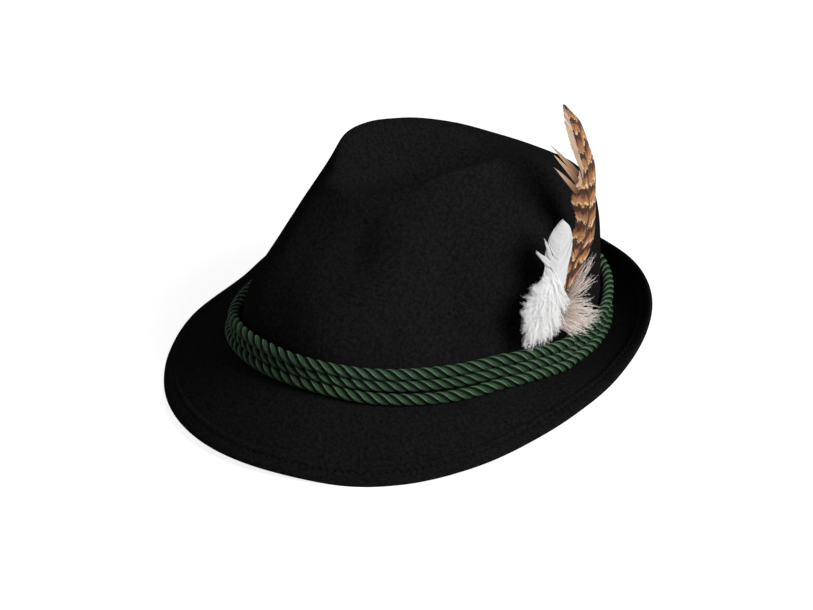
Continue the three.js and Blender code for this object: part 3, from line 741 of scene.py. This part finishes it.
def barbules(path, per_barb, reach, rng):
    """Short hairs on both sides of loose barbs, pointing forward along them."""
    count, steps = path.shape[:2]
    each = (count, per_barb, 1)
    t = rng.uniform(HAIR["from"], HAIR["to"], each[:2]) * (steps - 1)
    i = np.minimum(t.astype(int), steps - 2)
    part = (t - i)[..., None]
    pick = np.arange(count)[:, None]
    foot = path[pick, i] * (1 - part) + path[pick, i + 1] * part
    heading = unit(path[pick, i + 1] - path[pick, i])
    aside = np.cross(FACE, heading) * rng.choice([-1.0, 1.0], each)
    lift = rng.normal(0, HAIR["out"], each) * FACE
    lean = HAIR["forward"] * heading + HAIR["aside"] * aside + lift
    tip = foot + lean * (reach * rng.uniform(*HAIR["reach"], each))
    hair = np.stack([foot, (foot + tip) / 2 + HAIR["lead"] * heading, tip], axis=2).reshape(-1, 3, 3)
    half = np.array([HAIR["half_width"]]) * np.ones((len(hair), 1))
    strips = ribbons(hair, half, 0.0)
    lie = np.broadcast_to(np.array([1.0, 1.0]), (len(hair), 3, 2))
    return strips, lie, np.full(len(hair), 1.0), rng.random(len(hair))


def shaft(spine, begin, end, thick, thin):
    """The shaft: a tapering round rod along the spine, closed at both ends by points."""
    along = np.linspace(begin, end, SHAFT["steps"])
    radius = thick + (thin - thick) * (along - begin) / (end - begin)
    radius[0] = radius[-1] = SHAFT["end_radius"]
    heading = spine.heading(along)
    across = unit(np.cross(FACE, heading))
    level = np.cross(heading, across)
    turn = 2 * np.pi * np.arange(SHAFT["sides"]) / SHAFT["sides"]
    ring = np.cos(turn)[None, :, None] * across[:, None] + np.sin(turn)[None, :, None] * level[:, None]
    grid = spine.point(along)[:, None] + radius[:, None, None] * ring
    grid[..., 0] += SHAFT["proud"]
    lie = np.stack(np.broadcast_arrays(0.0, along[:, None] / 10 + 0 * turn[None, :]), axis=-1)
    return grid, lie


def feather_mesh(name, strips, rod):
    """One mesh from groups of strips and a shaft, with UV "lie" (share of the vane's width, length in
    cm) and the values "down", which is 0 for the vane, its tuft's share for a lock, 1 for down and 2 for
    the shaft, and "barb", one random value per strip."""
    points, quads, lie, down, barb = [], [], [], [], []
    base = 0
    for grid, uv, kind, tone in strips:
        n, m = grid.shape[:2]
        i, j = np.meshgrid(np.arange(n), np.arange(m - 1), indexing="ij")
        at = base + (i * m + j) * 2
        quads.append(np.stack([at, at + 1, at + 3, at + 2], axis=-1).reshape(-1, 4))
        points.append(grid.reshape(-1, 3))
        lie.append(np.repeat(np.asarray(uv).reshape(-1, 2), 2, axis=0))
        down.append(np.repeat(kind, m * 2))
        barb.append(np.repeat(tone, m * 2))
        base += n * m * 2
    grid, uv = rod
    n, m = grid.shape[:2]
    i, j = np.meshgrid(np.arange(n - 1), np.arange(m), indexing="ij")
    after = (j + 1) % m
    here, ahead = base + i * m, base + (i + 1) * m
    quads.append(np.stack([here + j, here + after, ahead + after, ahead + j], axis=-1).reshape(-1, 4))
    points.append(grid.reshape(-1, 3))
    lie.append(uv.reshape(-1, 2))
    down.append(np.full(n * m, 2.0))
    barb.append(np.full(n * m, 0.5))
    faces = np.concatenate(quads)
    piece = mesh_of(name, settled(np.concatenate(points)), faces)
    layer = piece.data.uv_layers.new(name="lie")
    layer.data.foreach_set("uv", np.concatenate(lie)[faces.ravel()].astype(np.float32).ravel())
    for label, values in (("down", down), ("barb", barb)):
        attribute = piece.data.attributes.new(label, "FLOAT", "POINT")
        attribute.data.foreach_set("value", np.concatenate(values).astype(np.float32))
    return piece


def plume(name, table, splits, tufts, seed, roots, spacing, run, loose, hairs, hair_reach, rod):
    """A whole feather: its vane on the left and on the right, each tuft, with hairs where it is down,
    and the shaft. Roots say where each side begins, and rod gives the shaft's radius at both ends."""
    rng = np.random.default_rng(seed)
    spine = Spine(table)
    sides = zip((-1, 1), roots)
    groups = [vane(spine, side, begin, spacing, run, splits, rng, loose) for side, begin in sides]
    for number, down in enumerate(tufts["down"]):
        path, barbs = tuft(spine, tufts, number, rng)
        groups.append(barbs)
        if down == 1:
            groups.append(barbules(path, hairs, hair_reach, rng))
    return feather_mesh(name, groups, shaft(spine, 0.0, spine.length - 1.0, *rod))


def lets_light_through(tree, shader, colour, share):
    """Colours the shader and mixes it with a share of light that comes through in the same colour."""
    glow = node(tree, "ShaderNodeBsdfTranslucent", Color=colour)
    blend = node(tree, "ShaderNodeMixShader", Fac=share)
    tree.links.new(colour, shader.inputs["Base Color"])
    tree.links.new(shader.outputs["BSDF"], blend.inputs[1])
    tree.links.new(glow.outputs["BSDF"], blend.inputs[2])
    tree.links.new(blend.outputs["Shader"], tree.nodes["Material Output"].inputs["Surface"])


barred_feather = plume("barred_plume", BARRED, BARRED_SPLITS, BARRED_TUFTS, **BARRED_MAKE)

# The bars: how many lie to a cm of shaft, more on the left and shifted there, and by how much of a bar
# they lean back, wave, and jump from barb to barb. Below, the colours that they run through.
BARS = {"per_cm": 0.93, "left_more": 0.18, "left_shift": 0.4, "lean": -0.32, "wave": 1.1, "jump": 0.16}
CREAM, TAN = (0.74, 0.51, 0.31), (0.42, 0.20, 0.085)
BROWN, DARK = (0.22, 0.095, 0.045), (0.075, 0.032, 0.020)
BAR_TONES = ((0.0, DARK), (0.34, DARK), (0.40, TAN), (0.70, TAN), (0.88, BROWN), (0.97, DARK))
CREAM_LINE = ((0.31, 0.0), (0.35, 1.0), (0.43, 1.0), (0.50, 0.0))
FLECK_TONES = ((0.35, (0.62, 0.58, 0.55)), (0.62, (1.18, 1.15, 1.1)))
FLECKS = {"break_the_line_above": 0.42, "strength": 0.8}
PALE_EDGE = {"beyond": -0.58, "above_cm": 9.5, "strength": 0.85, "colour": (0.66, 0.50, 0.36)}
LOCK_TONES = ((0.0, (0.13, 0.055, 0.03)), (0.4, (0.36, 0.20, 0.11)), (1.0, (0.66, 0.50, 0.38)))
DOWN_TONES = ((0.0, (0.30, 0.22, 0.17)), (0.4, (0.62, 0.52, 0.45)), (1.0, (0.86, 0.79, 0.73)))
UP_SHAFT_PER_CM = 0.07
SHAFT_TONES = ((0.35, (0.045, 0.022, 0.014)), (0.6, (0.14, 0.065, 0.035)), (0.9, (0.34, 0.19, 0.10)))
BARB_BRIGHTNESS = {"least": 0.85, "more": 0.3}

feather_brown, tree, shader = new_material("barred_brown_feather", Roughness=0.55, Specular_IOR_Level=0.25)
lie = node(tree, "ShaderNodeUVMap", uv_map="lie").outputs["UV"]
split_uv = node(tree, "ShaderNodeSeparateXYZ", Vector=lie)
lateral, along = split_uv.outputs["X"], split_uv.outputs["Y"]
barb = node(tree, "ShaderNodeAttribute", attribute_name="barb").outputs["Fac"]
down = node(tree, "ShaderNodeAttribute", attribute_name="down").outputs["Fac"]
stretch = node(tree, "ShaderNodeMapping", Vector=lie, Scale=(3.4, 1.2, 1.0)).outputs["Vector"]
waver = node(tree, "ShaderNodeTexNoise", Vector=stretch, Scale=1.0, Detail=3.0).outputs["Fac"]
place = node(tree, "ShaderNodeTexCoord").outputs["Object"]
mottle = node(tree, "ShaderNodeTexNoise", Vector=place, Scale=520.0, Detail=3.0,
              Roughness=0.7).outputs["Fac"]

reach = maths(tree, "ABSOLUTE", lateral, None)
on_left = maths(tree, "LESS_THAN", lateral, 0.0)
closer = maths(tree, "MULTIPLY", on_left, BARS["left_more"])
closer = maths(tree, "ADD", closer, BARS["per_cm"])
phase = maths(tree, "MULTIPLY", along, closer)
shifts = {"left_shift": on_left, "lean": reach, "wave": waver, "jump": barb}
for how, value in shifts.items():
    phase = maths(tree, "ADD", phase, maths(tree, "MULTIPLY", value, BARS[how]))
phase = maths(tree, "FRACT", phase, None)

bars = ramp(tree, phase, BAR_TONES)
line = grey_ramp(tree, phase, CREAM_LINE)
broken = maths(tree, "GREATER_THAN", mottle, FLECKS["break_the_line_above"])
bars = mix(tree, maths(tree, "MULTIPLY", line, broken), bars, CREAM)
fleck = ramp(tree, mottle, FLECK_TONES)
flecked = mix(tree, FLECKS["strength"], bars, fleck, "MULTIPLY")
at_edge = maths(tree, "LESS_THAN", lateral, PALE_EDGE["beyond"])
high_up = maths(tree, "GREATER_THAN", along, PALE_EDGE["above_cm"])
pale_edge = maths(tree, "MULTIPLY", at_edge, high_up)
pale_edge = maths(tree, "MULTIPLY", pale_edge, PALE_EDGE["strength"])
colour = mix(tree, pale_edge, flecked, PALE_EDGE["colour"])

above = maths(tree, "GREATER_THAN", down, 0.1)
below = maths(tree, "LESS_THAN", down, 0.5)
is_lock = maths(tree, "MULTIPLY", above, below)
colour = mix(tree, is_lock, colour, ramp(tree, lateral, LOCK_TONES))
is_down = maths(tree, "GREATER_THAN", down, 0.5)
colour = mix(tree, is_down, colour, ramp(tree, lateral, DOWN_TONES))
is_shaft = maths(tree, "GREATER_THAN", down, 1.5)
up_shaft = maths(tree, "MULTIPLY", along, UP_SHAFT_PER_CM)
colour = mix(tree, is_shaft, colour, ramp(tree, up_shaft, SHAFT_TONES))
brightness = maths(tree, "MULTIPLY", barb, BARB_BRIGHTNESS["more"])
brightness = maths(tree, "ADD", brightness, BARB_BRIGHTNESS["least"])
shaded = node(tree, "ShaderNodeHueSaturation", Value=brightness, Color=colour)
lets_light_through(tree, shader, shaded.outputs["Color"], share=0.22)
barred_feather.data.materials.append(feather_brown)
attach(barred_feather, "root")
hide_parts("barred_feather")


# The white feather.
# A short breast feather in front of the barred one. Only its upper half holds together as a vane; below
# that it is all loose white down, which spreads over the top of the cord.

WHITE = {
    "x":     [81.13, 79.98, 78.21, 84.8, 85.2, 84.5, 82.6, 81.6, 81.3, 81.5],
    "y":     [-7, -7, -7, -5.3, -3.8, -0.7, 7.1, 9.7, 11, 10.9],
    "z":     [-2, 6, 14, 20.6, 28.5, 37.2, 47.2, 56.2, 65.8, 72.4],
    "left":  [0, 0, 0, 6, 11, 12, 8, 9, 7, 0],
    "right": [0, 0, 0, 7, 12, 13, 9, 9.5, 6.5, 0],
}
WHITE_SPLITS = {"side": [-1, -1, 1], "at": [62, 55, 60], "gap": [1.8, 1.6, 1.2]}
WHITE_TUFTS = {
    "from_y": [5.0, 3.7, 13.6, -5.2, -6.7, -7.5, -7.0, -6.5, -4.6, -1.4, 3.1, 6.0,
               1.5, -1.0, -3.0, 2.0, 4.0],
    "from_z": [53.4, 50.7, 51.6, 38.8, 36.3, 32.8, 29.4, 26.8, 26.8, 27.7, 31.3, 36.4,
               45.0, 41.0, 37.0, 42.0, 46.0],
    "to_x":   [81.7, 81.8, 80.7, 83.5, 84.1, 84.9, 86.1, 87.0, 87.1, 87.0, 86.6, 85.2,
               85.6, 86.4, 87.0, 87.0, 86.2],
    "to_y":   [-1.5, -7.0, 19.4, -10.0, -15.0, -16.1, -16.4, -14.8, -7.7, -1.7, 6.5, 11.5,
               -9.0, -8.5, -7.0, 0.0, 8.0],
    "to_z":   [66.3, 61.2, 61.7, 43.2, 35.6, 29.6, 23.1, 16.0, 15.5, 15.9, 17.5, 26.0,
               36.0, 28.0, 21.0, 25.0, 31.0],
    "width":  [2.5, 2.5, 2.5, 6, 7, 7, 7, 7, 7, 7, 7, 7, 8, 8, 8, 8, 8],
    "count":  [14, 14, 14, 56, 72, 80, 80, 80, 80, 80, 80, 70, 70, 70, 60, 70, 60],
    "down":   [0.6, 0.6, 0.6, 1, 1, 1, 1, 1, 1, 1, 1, 1, 1, 1, 1, 1, 1],
    "spread": [0.3, 0.3, 0.3, 1, 1, 1, 1, 1, 1, 1, 1, 1, 1, 1, 1, 1, 1],
}
WHITE_MAKE = {
    "seed": 11, "roots": (37.0, 37.0), "spacing": 0.22, "run": 9.0, "loose": 0.4,
    "hairs": 18, "hair_reach": 1.6, "rod": (0.7, 0.12),
}
VANE_TINTS = ((0.0, (0.68, 0.675, 0.675)), (1.0, (0.88, 0.88, 0.885)))
DOWN_TINTS = ((0.0, (0.90, 0.895, 0.89)), (1.0, (0.98, 0.98, 0.98)))

white_feather = plume("white_plume", WHITE, WHITE_SPLITS, WHITE_TUFTS, **WHITE_MAKE)
feather_white, tree, shader = new_material("white_feather", Roughness=0.6, Specular_IOR_Level=0.25)
barb = node(tree, "ShaderNodeAttribute", attribute_name="barb").outputs["Fac"]
down = node(tree, "ShaderNodeAttribute", attribute_name="down").outputs["Fac"]
vane_tint = ramp(tree, barb, VANE_TINTS)
down_tint = ramp(tree, barb, DOWN_TINTS)
tint = mix(tree, down, vane_tint, down_tint)
lets_light_through(tree, shader, tint, share=0.4)
white_feather.data.materials.append(feather_white)
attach(white_feather, "root")
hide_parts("white_feather")


# Floor and light.
# A plain white floor under a white room, lit by one soft lamp from the right and a weak one from the
# left. Floor and room show white to the camera, and light the hat with much less.

FLOOR_CORNERS = [(-6, -6, 0), (6, -6, 0), (6, 6, 0), (-6, 6, 0)]
FLOOR_GREY = 0.36
STRENGTHS = {"floor": {"lights": 0.02, "shows": 0.86}, "room": {"lights": 0.26, "shows": 1.0}}
LIGHTS = {
    "name": ["lamp_right", "fill_left"],
    "place": [(1.65, 0.45, 1.15), (-1.3, -0.9, 1.0)],
    "size": [1.1, 1.2],
    "watts": [50.0, 0.3],
}
HAT_MIDDLE = (0, 0, 0.05)


def shows_and_lights(tree, shows, lights):
    """A strength with one value for rays straight from the camera and another for the rest."""
    seen = node(tree, "ShaderNodeLightPath").outputs["Is Camera Ray"]
    return node(tree, "ShaderNodeMapRange", Value=seen, To_Min=lights, To_Max=shows).outputs["Result"]


floor_mesh = mesh_of("floor", FLOOR_CORNERS, [(0, 1, 2, 3)])
floor_pale, tree, shader = new_material("pale_floor", Roughness=0.9, Specular_IOR_Level=0.1)
shader.inputs["Base Color"].default_value = (FLOOR_GREY, FLOOR_GREY, FLOOR_GREY, 1)
shader.inputs["Emission Color"].default_value = (1, 1, 1, 1)
tree.links.new(shows_and_lights(tree, **STRENGTHS["floor"]), shader.inputs["Emission Strength"])
floor_mesh.data.materials.append(floor_pale)
world = bpy.data.worlds.new("soft_room")
world.use_nodes = True
tree = world.node_tree
backdrop = tree.nodes["Background"]
backdrop.inputs["Color"].default_value = (1, 1, 1, 1)
tree.links.new(shows_and_lights(tree, **STRENGTHS["room"]), backdrop.inputs["Strength"])
bpy.context.scene.world = world
bpy.context.scene.view_settings.view_transform = "Standard"
for name, spot, size, watts in zip(*LIGHTS.values()):
    lamp = bpy.data.lights.new(name, "AREA")
    lamp.size = size
    lamp.energy = watts
    holder = bpy.data.objects.new(name, lamp)
    bpy.context.scene.collection.objects.link(holder)
    holder.location = spot
    holder.rotation_euler = (Vector(HAT_MIDDLE) - Vector(spot)).to_track_quat("-Z", "Y").to_euler()
